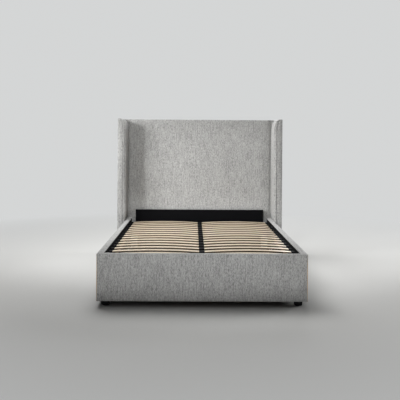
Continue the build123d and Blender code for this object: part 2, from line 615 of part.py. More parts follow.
# Lift arms bolted to the side tubes, each with a lug that carries a strut stud
def make_lift_arms():
    half = TUBE_HEIGHT / 2
    lug = CYLINDER_STUD_DROP + STUD_COLLAR_RADIUS
    corners = [
        (PIVOT_Y + ARM_TAIL, PIVOT_Z - half), (PIVOT_Y + ARM_TAIL, PIVOT_Z + half),
        (PIVOT_Y - ARM_LENGTH, PIVOT_Z + half), (PIVOT_Y - ARM_LENGTH, PIVOT_Z - half),
        (CYLINDER_STUD_Y - LUG_SKIRT, PIVOT_Z - half), (CYLINDER_STUD_Y - LUG_HALF_WIDTH, PIVOT_Z - lug),
        (CYLINDER_STUD_Y + LUG_HALF_WIDTH, PIVOT_Z - lug), (CYLINDER_STUD_Y + LUG_SKIRT, PIVOT_Z - half),
    ]
    arm = side_plate(corners, STUD_COLLAR_RADIUS, (TUBE_OUTER, ARM_OUTER))
    arm_x = (TUBE_OUTER - OVERRUN, ARM_OUTER + OVERRUN)
    arm -= across(arm_x, PIVOT_Y, PIVOT_Z, PIN_RADIUS + RUNNING_CLEARANCE)
    arm -= across(arm_x, CYLINDER_STUD_Y, CYLINDER_STUD_Z, STUD_RADIUS)
    bolts = []
    for y in arm_bolt_places():
        bolt = across((TUBE_INNER - NUT_HEIGHT, ARM_OUTER), y, PIVOT_Z, BOLT_RADIUS)
        arm -= bolt
        bolt += across((ARM_OUTER, ARM_OUTER + BOLT_HEAD_HEIGHT), y, PIVOT_Z, BOLT_HEAD_RADIUS)
        bolts.append(bolt + across((TUBE_INNER - NUT_HEIGHT, TUBE_INNER), y, PIVOT_Z, BOLT_HEAD_RADIUS))
    save("lift_arms", *both_sides([arm]))
    stud = make_stud(ARM_OUTER, TUBE_OUTER, CYLINDER_STUD_Y, CYLINDER_STUD_Z)
    save("cylinder_studs", *both_sides([stud]))
    return bolts


def on_strut(shape):
    """Move a shape made along +X at the origin onto the strut's line, rod stud first."""
    return Pos(STRUT_X, ROD_STUD_Y, ROD_STUD_Z) * Rot(X=STRUT_TILT) * Rot(Z=QUARTER_TURN) * shape


def eye(x, bore):
    """Eye of a strut end, its bore across the strut."""
    return Pos(x, 0, 0) * Rot(X=QUARTER_TURN) * (Cylinder(EYE_RADIUS, EYE_WIDTH) - Cylinder(bore, EYE_WIDTH))


def strut_bar(x, radius):
    """Round bar along the strut between two places."""
    return Pos(x[0], 0, 0) * Rot(Y=QUARTER_TURN) * Cylinder(radius, x[1] - x[0], align=LOW_END)


# Gas struts: a piston rod hinged low on the side rail, and a cylinder that slides along it
def make_struts():
    high = STRUT_LENGTH - STRUT_NECK
    low = high - CYLINDER_LENGTH
    bore = CYLINDER_RADIUS - CYLINDER_WALL
    shell = strut_bar((low, high), CYLINDER_RADIUS)
    shell -= strut_bar((low + CYLINDER_END_WALL, high - CYLINDER_END_WALL), bore)
    shell -= strut_bar((low - OVERRUN, low + CYLINDER_END_WALL + OVERRUN), ROD_RADIUS + RUNNING_CLEARANCE)
    open_bore = STUD_RADIUS + OPEN_PIVOT_CLEARANCE
    neck = strut_bar((high, STRUT_LENGTH), ROD_SOCKET_RADIUS)
    neck -= Pos(STRUT_LENGTH, 0, 0) * Rot(X=QUARTER_TURN) * Cylinder(open_bore, EYE_WIDTH)
    cylinder = shell + (neck + eye(STRUT_LENGTH, open_bore))
    piston_end = high - CYLINDER_END_WALL - OVERRUN
    rod = strut_bar((ROD_SOCKET_LENGTH, piston_end), ROD_RADIUS)
    rod += strut_bar((piston_end - PISTON_LENGTH, piston_end), bore - RUNNING_CLEARANCE)
    stud_bore = STUD_RADIUS + RUNNING_CLEARANCE
    socket = strut_bar((0, ROD_SOCKET_LENGTH), ROD_SOCKET_RADIUS)
    socket -= Rot(X=QUARTER_TURN) * Cylinder(stud_bore, EYE_WIDTH)
    rod += socket + eye(0, stud_bore)
    save_pair("strut_cylinder", on_strut(cylinder))
    save_pair("strut_rod", on_strut(rod))


def report_strut():
    """Print how the strut follows the platform, and how far its open pivot strays."""
    top = radians(LIFT_ANGLE)
    start = atan2(ROD_STUD_DROP - CYLINDER_STUD_DROP, CYLINDER_STUD_FORWARD - ROD_STUD_FORWARD)

    def stud(angle):
        u = CYLINDER_STUD_FORWARD * cos(angle) + CYLINDER_STUD_DROP * sin(angle) - ROD_STUD_FORWARD
        w = CYLINDER_STUD_FORWARD * sin(angle) - CYLINDER_STUD_DROP * cos(angle) + ROD_STUD_DROP
        return u, w

    def stray(turn, slide):
        worst = 0
        for step in range(LIFT_STEPS + 1):
            angle = top * step / LIFT_STEPS
            u, w = stud(angle)
            length, tilt = STRUT_LENGTH + slide * angle, start + turn * angle
            worst = max(worst, hypot(u - length * cos(tilt), w - length * sin(tilt)))
        return worst

    slides = [STRUT_LENGTH * share for share in TRIED_SHARES]
    best = min((stray(turn, slide), turn, slide) for turn in TRIED_SHARES for slide in slides)
    print(f"pivot y {PIVOT_Y:.3f} z {PIVOT_Z:.3f}, rod stud y {ROD_STUD_Y:.3f} z {ROD_STUD_Z:.3f}")
    print(f"strut length {STRUT_LENGTH:.3f}, tilt {STRUT_TILT:.4f} degrees, x {STRUT_X:.3f}")
    print(f"turn ratio {best[1]:.4f}, slide {best[2]:.3f} mm per radian, stray {best[0]:.2f} mm")


def main():
    os.makedirs("parts", exist_ok=True)
    make_side_rails()
    make_footboard()
    make_headboard()
    bearer_feet = make_storage_floor()
    save("round_feet", *bearer_feet, *make_corner_feet())
    frame_bolts = make_wings() + make_corner_brackets() + make_hinge_plates()
    save("frame_bolts", *both_sides(frame_bolts))
    make_rests()
    make_platform_frame()
    make_slats()
    make_lift_tab()
    platform_bolts = make_stop_board() + both_sides(make_lift_arms())
    save("platform_bolts", *platform_bolts)
    make_struts()
    report_strut()


main()
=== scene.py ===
import json
import math

import bmesh
import bpy
import numpy as np
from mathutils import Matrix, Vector, noise


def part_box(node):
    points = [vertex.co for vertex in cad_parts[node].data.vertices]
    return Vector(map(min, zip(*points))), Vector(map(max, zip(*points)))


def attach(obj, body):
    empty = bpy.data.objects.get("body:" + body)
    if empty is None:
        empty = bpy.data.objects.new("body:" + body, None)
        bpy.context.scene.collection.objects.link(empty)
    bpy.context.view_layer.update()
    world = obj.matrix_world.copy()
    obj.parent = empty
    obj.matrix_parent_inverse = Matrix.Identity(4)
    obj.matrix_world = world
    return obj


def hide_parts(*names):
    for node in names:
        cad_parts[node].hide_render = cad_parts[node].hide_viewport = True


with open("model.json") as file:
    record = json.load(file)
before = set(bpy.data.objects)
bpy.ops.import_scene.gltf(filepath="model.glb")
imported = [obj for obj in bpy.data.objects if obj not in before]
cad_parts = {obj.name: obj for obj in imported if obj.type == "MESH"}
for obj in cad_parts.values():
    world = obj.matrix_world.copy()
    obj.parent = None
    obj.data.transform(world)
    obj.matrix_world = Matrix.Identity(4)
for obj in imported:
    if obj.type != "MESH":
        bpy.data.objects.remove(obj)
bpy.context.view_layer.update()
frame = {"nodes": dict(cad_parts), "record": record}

MM = 0.001
SIDES = (("left", -1), ("right", 1))

# Camera: a level camera at the foot of the bed, slightly turned and tilted sideways
IMAGE_SIDE = 400
FOCAL_PIXELS = 608.5
CENTRE_ROW = 142.1
CAMERA_PLACE = (-0.0701, -5.2282, 1.1374)
CAMERA_TURN = 0.0115
CAMERA_ROLL = 0.0066
SENSOR_WIDTH = 36.0

# Room: a floor that fades into a pale distance, and the light
FLOOR_HALF = 40.0
FLOOR_SEEN = (0.66, 0.66, 0.645)
FLOOR_BOUNCE = (0.14, 0.14, 0.137)
DISTANCE_COLOUR = (0.66, 0.67, 0.67)
FADE_START = 1.7
FADE_END = 4.6
WORLD_LIGHT = 0.13
SKY_FROM = 0.1
SKY_FULL = 0.8
SPOT_LAMPS = {
    "key": {"place": (-7.98, -7.91, 3.25), "aim": (-0.25, 0.95, 0.85), "angle": 10, "blend": 0.6,
            "radius": 0.9, "power": 3430.0},
    "front": {"place": (-0.6, -3.3, 2.0), "aim": (0.0, 0.9, 0.46), "angle": 28, "blend": 0.1,
              "radius": 0.35, "power": 340.0, "wide": 3.0},
    "low": {"place": (0.6, -5.6, 0.13), "aim": (0.04, -1.04, 0.23), "angle": 7, "blend": 1.0,
            "radius": 0.1, "power": 465.0, "wide": 8.0},
    "side": {"place": (-3.6, -1.3, 2.3), "aim": (0.1, 0.85, 0.9), "angle": 34, "blend": 0.6,
             "radius": 0.7, "power": 470.0},
}
AREA_LAMPS = {
    "top": {"place": (-0.9, 1.3, 4.2), "aim": (-0.1, 0.2, 0.3), "size": (3.0, 3.0), "power": 138.0},
    "back": {"place": (1.2, 5.5, 2.8), "aim": (0.0, 1.0, 0.7), "size": (3.0, 2.0), "power": 90.0},
    "right": {"place": (5.5, 1.6, 1.7), "aim": (0.8, 0.0, 0.4), "size": (2.0, 1.0), "power": 110.0},
}

# Upholstery: grid, rounded edges, foam crown and puckers
CELL = 13 * MM
EDGE_ANGLES = (45, 30, 15, 0)
RAIL_EDGE = 7 * MM
FOOT_CORNER = 9 * MM
HEAD_EDGE = 6 * MM
WING_EDGE = 3 * MM
CROWN = 2 * MM
WING_CROWN = 0.7 * MM
CROWN_REACH = 26 * MM
PUCKER_DEPTH = 1.0 * MM
PUCKER_LENGTH = 30 * MM
PUCKER_REACH = 16 * MM
PUCKER_MEAN = 0.5
WAVE_DEPTH = 0.6 * MM
WAVE_LENGTH = 190 * MM
WAVE_OFFSET = 7.3
UNDER_SKIN = 0.8 * MM
JOINT_LAP = 3 * MM
PANEL_CURVE = 16 * MM
PANEL_CURVE_REACH = 48 * MM
CREASE_DEPTH = 15 * MM
CREASE_REACH = 11 * MM
CREASE_GRID = (-0.6, 0.0, 0.5, 1.0, 1.5, 2.0, 2.7)

# Chenille: each part's size across and along the cloth, and how much it lightens the colour; gaps darken it
TUFT, TUFT_TONE = (2.6 * MM, 6.5 * MM), 0.24
FLECK, FLECK_TONE = (5.5 * MM, 19 * MM), 0.30
STREAK, STREAK_TONE = (10 * MM, 96 * MM), 0.24
CLOUD, CLOUD_TONE = (120 * MM, 260 * MM), 0.08
GAP_TONE = 0.18
DARK_YARN = (0.17, 0.17, 0.166)
LIGHT_YARN = (0.71, 0.71, 0.695)
PILE_DEPTH = 1.3 * MM

# Slats: rows, size of grain, pores and edge layers along, across and through them, and colours; the edges
# that face along the bed get a painted shade
SLAT_ROWS = 15
GRAIN = (190 * MM, 3.2 * MM, 40 * MM)
PORE = (16 * MM, 0.9 * MM, 20 * MM)
LAYER = (260 * MM, 50 * MM, 1.3 * MM)
LIGHT_BEECH, DARK_BEECH = (0.92, 0.79, 0.61), (0.74, 0.59, 0.42)
PORE_COLOUR = (0.42, 0.29, 0.17)
DULL_BEECH = (0.74, 0.62, 0.47)
# Painted shade: near-black colours of the slat edges that face along the bed, standing in for the shade
# between the slats
SHADED_EDGE_DARK, SHADED_EDGE_LIGHT = (0.07, 0.045, 0.024), (0.16, 0.108, 0.062)
SHADED_EDGE_FACING = 0.6

# Cloth simulation of the padded pieces
SIM_FRAMES = 20
SIM_PRESSURE = 4.0
SIM_QUALITY = 3
HELD_EDGE = 5 * MM
HELD_FACING = 0.5
NO_MOVE = 1e-9

# Wing: curved seam and curved pad at the top, each a rounded curve that ends on the wing's top
WING_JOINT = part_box("headboard_pad")[1].x
BOARD_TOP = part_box("wing_board_right")[1].z
WING_SEAM = WING_JOINT - 2.5 * MM
WING_CREST = WING_JOINT + 34 * MM
BOARD_ROUND = 30 * MM
SEAM_CURVE = (95 * MM, 1.7)
FACE_CURVE = (140 * MM, 2.8)
CURVE_STEPS = 14
CREST_TURN = math.radians(87)
PAD_SWELL = 8 * MM
PAD_LAP = 4 * MM
PAD_CORNER = 2.5 * MM
PAD_CORNER_ANGLES = (30, 50, 70, 90)
PAD_CORNER_LENGTH = 1.6
PAD_SLOPE = math.tan(math.radians(20))
SLOPE_STEPS = 4
SEAM_DEPTH = 2 * MM
STRIP_PROUD = 3 * MM
STRIP_REACH = 6 * MM
BACK_LAP = 3 * MM
BACK_TURN = 25 * MM
# Painted shade: a dark cord laid along each wing's seam stands in for the seam's shade
SHADE_CORD = 0.9 * MM
SHADE_CORD_SIDES = 8
CREST_GROOVE = 0.5 * MM
GROOVE_DEPTH = 11 * MM
GROOVE_WIDTH = 7 * MM
GROOVE_POWER = 1.2
FLAT_STEPS = (0, 0.15, 0.35, 0.65, 1)
FLAT_MOST = 0.95

# Thin cloth: linings of the box and the dust cover behind the headboard
LINING_THICKNESS = 0.8 * MM
LINING_CELL = 22 * MM
COVER_WAVE = 0.9 * MM
LINING_WAVE = 0.3 * COVER_WAVE
CLOTH_WAVE_LENGTH = 130 * MM
LINING_EDGE_GAP = 3 * MM
COVER_INSET = 34 * MM
STAPLE_PITCH = 45 * MM
STAPLE_WIDTH = 10 * MM
STAPLE_WIRE = 1.1 * MM
STAPLE_INSET = 7 * MM

# Webbing tab
TAB_WEBBING = 1.5 * MM
TAB_GAP = 0.5 * MM
TAB_HEM = 6 * MM
TAB_STEPS = 14
TAB_TURN_STEP = 20

# Fine edges of the hard pieces
EDGE_ROUND = {
    "beech": 1.2 * MM, "timber": 1.5 * MM, "black_board": 0.8 * MM, "black_steel": 0.8 * MM,
    "black_plastic": 0.6 * MM, "floor_board": 0.6 * MM, "zinc_steel": 0.4 * MM, "black_rubber": 0.6 * MM,
}
EDGE_SEGMENTS = 2
SHARP_ANGLE = math.radians(35)
WELD_REACH = 0.01 * MM


# Grids and meshes
def grid_lines(low, high, radius):
    """Grid positions between two faces, closer together where the edges are rounded."""
    turn = radius * (1 - np.tan(np.radians(EDGE_ANGLES[:-1])))
    count = max(1, round((high - low - 2 * radius) / CELL))
    middle = np.linspace(low + radius, high - radius, count + 1)
    return np.concatenate([low + turn, middle, (high - turn)[::-1]])


def box_surface(lines):
    """Closed box of four-sided faces on three sets of grid lines."""
    sizes = [len(line) for line in lines]
    quads = []
    for axis in range(3):
        b, c = (axis + 1) % 3, (axis + 2) % 3
        ib, ic = np.meshgrid(np.arange(sizes[b] - 1), np.arange(sizes[c] - 1), indexing="ij")
        for end in (0, sizes[axis] - 1):
            corners = []
            for db, dc in ((0, 0), (1, 0), (1, 1), (0, 1)):
                index = [None] * 3
                index[axis] = np.full(ib.size, end)
                index[b], index[c] = (ib + db).ravel(), (ic + dc).ravel()
                corners.append((index[0] * sizes[1] + index[1]) * sizes[2] + index[2])
            quads.append(np.stack(corners, axis=1))
    quads = np.concatenate(quads)
    used, faces = np.unique(quads, return_inverse=True)
    i, rest = np.divmod(used, sizes[1] * sizes[2])
    j, k = np.divmod(rest, sizes[2])
    points = np.stack([lines[0][i], lines[1][j], lines[2][k]], axis=1)
    return points, faces.reshape(quads.shape)


def rounded_box(low, high, radius, extra=()):
    """Box with rounded edges, its grid finer at extra places in X: points, outward directions and faces."""
    low, high = np.array(low), np.array(high)
    lines = [grid_lines(low[a], high[a], radius) for a in range(3)]
    if len(extra):
        apart = np.abs(lines[0][:, None] - np.array(extra)[None, :]).min(axis=1)
        lines[0] = np.sort(np.concatenate([lines[0][apart > CELL / 4], extra]))
    points, faces = box_surface(lines)
    inner = np.clip(points, low + radius, high - radius)
    away = points - inner
    outward = away / np.linalg.norm(away, axis=1, keepdims=True)
    return inner + outward * radius, outward, faces


def edge_distance(points, low, high):
    """How far each point of a box lies from the nearest edge."""
    gaps = np.minimum(points - np.array(low), np.array(high) - points)
    return np.sort(gaps, axis=1)[:, 1]


def rise(distance, reach):
    """Share of the full height that foam has at a distance from its edge."""
    return 1 - np.exp(-((np.maximum(distance, 0) / reach) ** 2))


def ripple(points, length, offset=0.0):
    """Smooth noise between -1 and 1 at each point."""
    shift = Vector((offset, offset, offset))
    return np.array([noise.noise(Vector(point / length) + shift) for point in points])


def puffed(points, outward, distance, crown=CROWN, hidden=()):
    """Move points as foam does under a tight cover: puckers beside the edges, long soft waves and a crown.

    The cloth simulation raises the crown, so the face starts flat for it, below its final height. Each
    hidden face, an axis and its sign, keeps its place."""
    crowned = np.zeros(len(points))
    height = crown * (crowned - 1)
    pucker = np.exp(-np.maximum(distance, 0) / PUCKER_REACH) * rise(distance, RAIL_EDGE)
    height -= PUCKER_DEPTH * pucker * (PUCKER_MEAN + ripple(points, PUCKER_LENGTH))
    height += WAVE_DEPTH * ripple(points, WAVE_LENGTH, WAVE_OFFSET) * rise(distance, CROWN_REACH)
    for axis, sign in hidden:
        height *= 1 - np.clip(sign * outward[:, axis], 0, 1) ** 2
    return points + outward * height[:, None]


def tube_faces(rows, size):
    """Faces of a closed tube: between its rings of points, and over both ends."""
    faces = []
    for row in range(rows - 1):
        for i in range(size):
            a, b = row * size + i, row * size + (i + 1) % size
            faces.append((a, b, b + size, a + size))
    last = (rows - 1) * size
    return faces + [tuple(range(size)), tuple(range(last, last + size))]


def weave_map(mesh):
    """Flat map in metres on the side that each face looks along, so that the weave runs upright."""
    count = len(mesh.loops)
    corner = np.empty(count, np.int32)
    mesh.loops.foreach_get("vertex_index", corner)
    places = np.empty(len(mesh.vertices) * 3)
    mesh.vertices.foreach_get("co", places)
    places = places.reshape(-1, 3)[corner]
    normals, sizes = np.empty(len(mesh.polygons) * 3), np.empty(len(mesh.polygons), np.int32)
    mesh.polygons.foreach_get("normal", normals)
    mesh.polygons.foreach_get("loop_total", sizes)
    axis = np.repeat(np.abs(normals.reshape(-1, 3)).argmax(axis=1), sizes)
    across = np.where(axis == 0, places[:, 1], places[:, 0])
    upward = np.where(axis == 2, places[:, 1], places[:, 2])
    layer = mesh.uv_layers.new(name="weave")
    layer.data.foreach_set("uv", np.stack([across, upward], axis=1).ravel())


def new_piece(name, points, faces, material, body="bed_frame"):
    """Smooth mesh piece with the weave's map, which rides on a body."""
    mesh = bpy.data.meshes.new(name)
    mesh.from_pydata([tuple(p) for p in points], [], [tuple(int(i) for i in f) for f in faces])
    form = bmesh.new()
    form.from_mesh(mesh)
    bmesh.ops.recalc_face_normals(form, faces=form.faces)
    form.to_mesh(mesh)
    form.free()
    mesh.polygons.foreach_set("use_smooth", np.ones(len(mesh.polygons), bool))
    weave_map(mesh)
    mesh.materials.append(material)
    piece = bpy.data.objects.new(name, mesh)
    bpy.context.scene.collection.objects.link(piece)
    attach(piece, body)
    return piece


def swell(pads):
    """Cloth simulation: pressure swells each cover between its held edges, as far as its foam reaches."""
    scene = bpy.context.scene
    for piece, held, _ in pads:
        group = piece.vertex_groups.new(name="held")
        group.add([int(i) for i in np.flatnonzero(held)], 1.0, "REPLACE")
        cloth = piece.modifiers.new("cloth", "CLOTH")
        cloth.settings.vertex_group_mass = group.name
        cloth.settings.quality = SIM_QUALITY
        cloth.settings.use_pressure = True
        cloth.settings.uniform_pressure_force = SIM_PRESSURE
        cloth.settings.effector_weights.gravity = 0.0
        cloth.collision_settings.use_collision = False
        cloth.point_cache.frame_start, cloth.point_cache.frame_end = 1, SIM_FRAMES
    for step in range(1, SIM_FRAMES + 1):
        scene.frame_set(step)
    results = bpy.context.evaluated_depsgraph_get()
    for piece, _, crown in pads:
        start, end = (np.empty(len(piece.data.vertices) * 3) for _ in range(2))
        piece.data.vertices.foreach_get("co", start)
        piece.evaluated_get(results).data.vertices.foreach_get("co", end)
        move = (end - start).reshape(-1, 3)
        length = np.linalg.norm(move, axis=1, keepdims=True)
        move *= crown * np.tanh(length / crown) / np.maximum(length, NO_MOVE)
        piece.modifiers.remove(piece.modifiers["cloth"])
        piece.vertex_groups.clear()
        piece.data.vertices.foreach_set("co", start + move.ravel())
        piece.data.update()
    scene.frame_set(1)


# Shader nodes
class Finish:
    """One procedural material, built by short calls."""

    def __init__(self, name, roughness, metallic=0.0, specular=0.5):
        self.material = bpy.data.materials.new(name)
        self.material.use_nodes = True
        self.tree = self.material.node_tree
        self.shader = self.tree.nodes["Principled BSDF"]
        self.shader.inputs["Roughness"].default_value = roughness
        self.shader.inputs["Metallic"].default_value = metallic
        self.shader.inputs["Specular IOR Level"].default_value = specular

    def put(self, socket, value):
        """Set a socket to a value, or link another node's output to it."""
        if isinstance(value, bpy.types.NodeSocket):
            self.tree.links.new(value, socket)
        else:
            socket.default_value = value

    def add(self, kind, values=None, **settings):
        """New node with its settings and the values of its inputs."""
        made = self.tree.nodes.new(kind)
        for key, value in settings.items():
            setattr(made, key, value)
        for key, value in (values or {}).items():
            self.put(made.inputs[key], value)
        return made

    def place(self):
        """Position on the piece in metres."""
        return self.add("ShaderNodeTexCoord").outputs["Object"]

    def weave(self):
        """Position on the cloth in metres."""
        return self.add("ShaderNodeUVMap", uv_map="weave").outputs["UV"]

    def stretched(self, vector, sizes):
        """Position counted in cells of the given sizes; on the cloth two sizes are enough."""
        scale = [1 / size for size in (*sizes, 1.0)[:3]]
        return self.add("ShaderNodeMapping", {"Vector": vector, "Scale": scale}).outputs["Vector"]

    def noise(self, vector, sizes, detail=2.0, roughness=0.5):
        """Soft noise between 0 and 1."""
        values = {"Vector": self.stretched(vector, sizes), "Scale": 1.0}
        values.update({"Detail": detail, "Roughness": roughness})
        return self.add("ShaderNodeTexNoise", values).outputs["Fac"]

    def cells(self, vector, sizes):
        """Cell pattern: distance from each cell's middle, and a grey for each cell."""
        values = {"Vector": self.stretched(vector, sizes), "Scale": 1.0, "Randomness": 1.0}
        made = self.add("ShaderNodeTexVoronoi", values)
        grey = self.add("ShaderNodeSeparateColor", {"Color": made.outputs["Color"]}).outputs["Red"]
        return made.outputs["Distance"], grey

    def calc(self, operation, a, b=0.0):
        """Result of one operation on two numbers or outputs."""
        made = self.add("ShaderNodeMath", operation=operation)
        self.put(made.inputs[0], a)
        self.put(made.inputs[1], b)
        return made.outputs[0]

    def spread(self, value, low, high, to_low=0.0, to_high=1.0):
        """Value moved from one range to another, and held inside it."""
        values = {"Value": value, "From Min": low, "From Max": high, "To Min": to_low, "To Max": to_high}
        return self.add("ShaderNodeMapRange", values).outputs["Result"]

    def mixed(self, share, a, b):
        """Colour between a and b."""
        made = self.add("ShaderNodeMix", data_type="RGBA")
        self.put(made.inputs[0], share)
        for socket, value in ((made.inputs[6], a), (made.inputs[7], b)):
            self.put(socket, value if isinstance(value, bpy.types.NodeSocket) else (*value, 1.0))
        return made.outputs[2]

    def colour(self, value):
        """Give the surface its colour."""
        self.put(self.shader.inputs["Base Color"], value)

    def bump(self, height, distance):
        """Give the surface a relief of a height from 0 to 1, times a distance."""
        made = self.add("ShaderNodeBump", {"Height": height, "Distance": distance, "Strength": 1.0})
        self.put(self.shader.inputs["Normal"], made.outputs["Normal"])


# Materials
def grey_fabric():
    """Chenille: short upright tufts in light and mid greys, soft streaks and faint clouds."""
    cloth = Finish("grey_fabric", roughness=0.92, specular=0.25)
    weave = cloth.weave()
    gap, tuft = cloth.cells(weave, TUFT)
    fleck = cloth.noise(weave, FLECK, detail=1.5)
    streak = cloth.noise(weave, STREAK, detail=2.5)
    cloud = cloth.noise(weave, CLOUD, detail=1.0)
    tone = cloth.calc("MULTIPLY", tuft, TUFT_TONE)
    tone = cloth.calc("ADD", tone, cloth.spread(fleck, 0.32, 0.68, 0.0, FLECK_TONE))
    tone = cloth.calc("ADD", tone, cloth.spread(streak, 0.3, 0.7, 0.0, STREAK_TONE))
    tone = cloth.calc("ADD", tone, cloth.spread(cloud, 0.3, 0.7, 0.0, CLOUD_TONE))
    tone = cloth.calc("SUBTRACT", tone, cloth.spread(gap, 0.35, 0.8, 0.0, GAP_TONE))
    cloth.colour(cloth.mixed(tone, DARK_YARN, LIGHT_YARN))
    height = cloth.calc("SUBTRACT", cloth.calc("MULTIPLY", tuft, 0.4), gap)
    cloth.bump(height, PILE_DEPTH)
    cloth.shader.inputs["Sheen Weight"].default_value = 0.25
    cloth.shader.inputs["Sheen Roughness"].default_value = 0.45
    return cloth.material


def black_lining():
    """Pressed black cloth with a faint fibre."""
    cloth = Finish("black_lining", roughness=0.95, specular=0.06)
    fibre = cloth.noise(cloth.weave(), (1.6 * MM, 2.4 * MM), detail=4.0, roughness=0.7)
    dust = cloth.noise(cloth.weave(), (90 * MM, 60 * MM), detail=3.0)
    colour = cloth.mixed(fibre, (0.003, 0.003, 0.0035), (0.011, 0.011, 0.0115))
    cloth.colour(cloth.mixed(cloth.spread(dust, 0.45, 0.75, 0.0, 0.3), colour, (0.02, 0.0195, 0.019)))
    cloth.bump(fibre, 0.5 * MM)
    return cloth.material


def webbing():
    """Woven black strap with lengthwise ribs."""
    cloth = Finish("black_webbing", roughness=0.7, specular=0.35)
    rib = cloth.add("ShaderNodeTexWave", {"Vector": cloth.weave(), "Scale": 0.05 / MM, "Distortion": 0.3})
    cloth.colour(cloth.mixed(rib.outputs["Fac"], (0.012, 0.012, 0.013), (0.035, 0.035, 0.036)))
    cloth.bump(rib.outputs["Fac"], 0.4 * MM)
    return cloth.material


def beech():
    """Lacquered laminated slats: long grain, a tone for each slat, and layers on the edges, which are painted
    dark as the shade between the slats.
    """
    wood = Finish("beech", roughness=0.38, specular=0.45)
    place = wood.place()
    split = wood.add("ShaderNodeSeparateXYZ", {"Vector": place}).outputs
    row = wood.calc("FLOOR", wood.calc("DIVIDE", split["Y"], slat_pitch()))
    side = wood.calc("GREATER_THAN", split["X"], 0.0)
    key = wood.add("ShaderNodeCombineXYZ", {"X": row, "Y": side}).outputs["Vector"]
    tone = wood.add("ShaderNodeTexWhiteNoise", {"Vector": key}).outputs["Value"]
    shifted = wood.add("ShaderNodeVectorMath", {0: place, 1: key}, operation="ADD").outputs["Vector"]
    grain = wood.noise(shifted, GRAIN, detail=5.0, roughness=0.62)
    pore = wood.noise(shifted, PORE, detail=2.0)
    colour = wood.mixed(wood.spread(grain, 0.34, 0.68), LIGHT_BEECH, DARK_BEECH)
    colour = wood.mixed(wood.spread(pore, 0.62, 0.78, 0.0, 0.4), colour, PORE_COLOUR)
    colour = wood.mixed(wood.spread(tone, 0.0, 1.0, 0.0, 0.32), colour, DULL_BEECH)
    # Painted shade: edges that face along the bed are coloured dark, as the shade between the slats
    normal = wood.add("ShaderNodeNewGeometry").outputs["True Normal"]
    side_on = wood.add("ShaderNodeSeparateXYZ", {"Vector": normal}).outputs["Y"]
    edge = wood.calc("GREATER_THAN", wood.calc("ABSOLUTE", side_on), SHADED_EDGE_FACING)
    layer = wood.noise(place, LAYER, detail=0.0)
    shaded_edge_colour = wood.mixed(wood.spread(layer, 0.35, 0.65), SHADED_EDGE_DARK, SHADED_EDGE_LIGHT)
    wood.colour(wood.mixed(edge, colour, shaded_edge_colour))
    wood.bump(grain, 0.25 * MM)
    wood.shader.inputs["Coat Weight"].default_value = 0.15
    return wood.material


def plain_wood(name, light, dark, long_axis):
    """Planed timber or sheet: grain along one axis, with a few darker rings."""
    wood = Finish(name, roughness=0.7, specular=0.3)
    grain_sizes, ring_sizes = [7 * MM] * 3, [38 * MM] * 3
    grain_sizes[long_axis], ring_sizes[long_axis] = 260 * MM, 600 * MM
    grain = wood.noise(wood.place(), grain_sizes, detail=5.0, roughness=0.6)
    ring = wood.noise(wood.place(), ring_sizes, detail=2.0)
    colour = wood.mixed(wood.spread(grain, 0.32, 0.7), light, dark)
    wood.colour(wood.mixed(wood.spread(ring, 0.5, 0.7, 0.0, 0.45), colour, dark))
    wood.bump(grain, 0.4 * MM)
    return wood.material


def black_board():
    """Board in a matt black film with a faint grain and a few dusty scuffs."""
    board = Finish("black_board", roughness=0.7, specular=0.06)
    grain = board.noise(board.place(), (120 * MM, 3 * MM, 3 * MM), detail=4.0, roughness=0.6)
    scuff = board.noise(board.place(), (180 * MM, 60 * MM, 40 * MM), detail=5.0, roughness=0.7)
    dusty = board.spread(scuff, 0.5, 0.8, 0.0, 0.4)
    board.colour(board.mixed(dusty, (0.0022, 0.0023, 0.003), (0.0055, 0.0057, 0.0065)))
    board.put(board.shader.inputs["Roughness"], board.spread(scuff, 0.3, 0.7, 0.6, 0.8))
    board.bump(grain, 0.15 * MM)
    return board.material


def powder_coat():
    """Black powder coat with its fine orange-peel surface."""
    paint = Finish("black_steel", roughness=0.55, specular=0.12)
    peel = paint.noise(paint.place(), (1.8 * MM,) * 3, detail=2.0)
    tone = paint.noise(paint.place(), (70 * MM,) * 3, detail=2.0)
    paint.colour(paint.mixed(tone, (0.004, 0.004, 0.0045), (0.009, 0.009, 0.0095)))
    paint.bump(peel, 0.3 * MM)
    return paint.material


def moulded(name, light, dark, roughness, grain_size, specular):
    """Moulded plastic or rubber with a fine grain."""
    plastic = Finish(name, roughness=roughness, specular=specular)
    grain = plastic.noise(plastic.place(), (grain_size,) * 3, detail=3.0)
    tone = plastic.noise(plastic.place(), (45 * MM,) * 3, detail=2.0)
    plastic.colour(plastic.mixed(tone, dark, light))
    plastic.bump(grain, 0.25 * MM)
    return plastic.material


def zinc_steel():
    """Zinc plate with its patchy bright and dull bloom."""
    steel = Finish("zinc_steel", roughness=0.35, metallic=1.0)
    bloom = steel.noise(steel.place(), (9 * MM,) * 3, detail=4.0, roughness=0.65)
    steel.colour(steel.mixed(bloom, (0.42, 0.43, 0.44), (0.72, 0.73, 0.72)))
    steel.put(steel.shader.inputs["Roughness"], steel.spread(bloom, 0.3, 0.7, 0.26, 0.5))
    steel.bump(bloom, 0.1 * MM)
    return steel.material


def bright_rod():
    """Hard chrome with faint rings of polish."""
    chrome = Finish("bright_rod", roughness=0.1, metallic=1.0)
    polish = chrome.noise(chrome.place(), (0.8 * MM,) * 3, detail=2.0)
    chrome.colour(chrome.mixed(polish, (0.72, 0.73, 0.75), (0.88, 0.89, 0.9)))
    chrome.put(chrome.shader.inputs["Roughness"], chrome.spread(polish, 0.3, 0.7, 0.06, 0.16))
    return chrome.material


def black_plastic():
    """Plastic of the feet and the slat caps."""
    light, dark = (0.009, 0.009, 0.01), (0.0035, 0.0035, 0.004)
    return moulded("black_plastic", light, dark, roughness=0.65, grain_size=1.2 * MM, specular=0.05)


